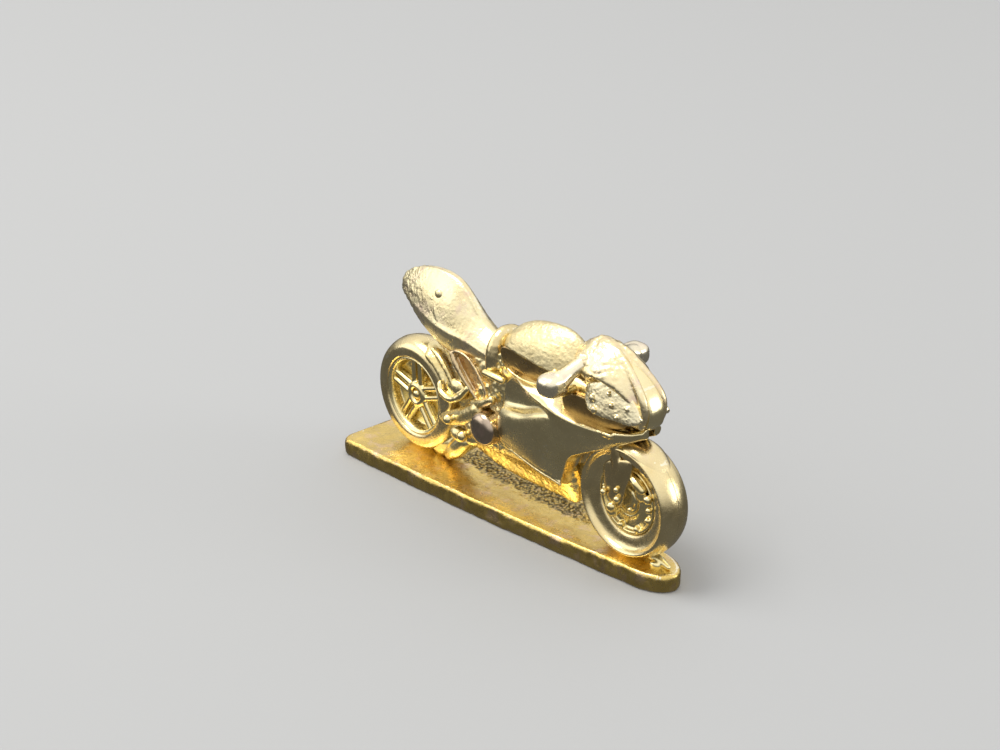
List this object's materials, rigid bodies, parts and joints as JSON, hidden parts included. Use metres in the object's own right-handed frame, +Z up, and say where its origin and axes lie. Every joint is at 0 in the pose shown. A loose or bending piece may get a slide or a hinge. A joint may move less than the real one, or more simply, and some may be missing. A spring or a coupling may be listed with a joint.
{
  "type": "miniature sport motorcycle",
  "caption": "Small gold-plated cast metal sport motorcycle standing on a tapered base plate, used as a charm, game token or desk miniature.",
  "frame": {"origin": "middle of the base plate's underside", "axes": "+X to the motorcycle's nose, +Y to its left, +Z up from the underside of the plate"},
  "size_m": [0.033, 0.0104, 0.0172],
  "materials": {
    "plate_gold": "gold plating over the raw grainy casting, rubbed bright on the edges",
    "wheel_gold": "gold plating, satin in the recesses",
    "polished_gold": "gold plating, tumbled to a high polish",
    "cast_gold": "gold plating over a finely pitted casting skin"
  },
  "bodies": {
    "root": {"base_plate": "plate_gold", "front_tip_web": "plate_gold", "rear_support_lobe": "plate_gold", "rear_tyre": "wheel_gold", "rear_rim": "wheel_gold", "rear_spokes_right": "wheel_gold", "rear_spokes_left": "wheel_gold", "rear_axle_nut_right": "wheel_gold", "rear_axle_nut_left": "wheel_gold", "front_tyre": "wheel_gold", "front_rim": "wheel_gold", "front_brake_disc_right": "wheel_gold", "front_brake_disc_left": "wheel_gold", "front_caliper_right": "wheel_gold", "front_caliper_left": "wheel_gold", "fork_leg_right": "polished_gold", "fork_leg_left": "polished_gold", "front_axle_nut_right": "wheel_gold", "front_axle_nut_left": "wheel_gold", "front_fender": "polished_gold", "belly_pan": "polished_gold", "engine_block": "cast_gold", "side_fairing_right": "polished_gold", "side_fairing_left": "polished_gold", "fuel_tank": "cast_gold", "tank_collar": "cast_gold", "seat_pad": "cast_gold", "tail_cowl": "cast_gold", "tail_boss_right": "cast_gold", "tail_boss_left": "cast_gold", "upper_fairing": "cast_gold", "headlight_panel_right": "cast_gold", "headlight_panel_left": "cast_gold", "windscreen": "cast_gold", "mirror_right": "polished_gold", "mirror_left": "polished_gold", "handlebar_grip_right": "cast_gold", "handlebar_grip_left": "cast_gold", "swingarm_right": "cast_gold", "swingarm_left": "cast_gold", "rear_hugger": "cast_gold", "hugger_bracket_right": "cast_gold", "hugger_bracket_left": "cast_gold", "subframe_panel_right": "cast_gold", "subframe_panel_left": "cast_gold", "subframe_spine": "cast_gold", "engine_cover_right": "polished_gold", "engine_cover_left": "polished_gold", "footpeg_right": "cast_gold", "footpeg_left": "cast_gold", "foot_lever_right": "cast_gold", "foot_lever_left": "cast_gold", "frame_rail_right": "cast_gold", "frame_rail_left": "cast_gold"}
  },
  "joints": []
}
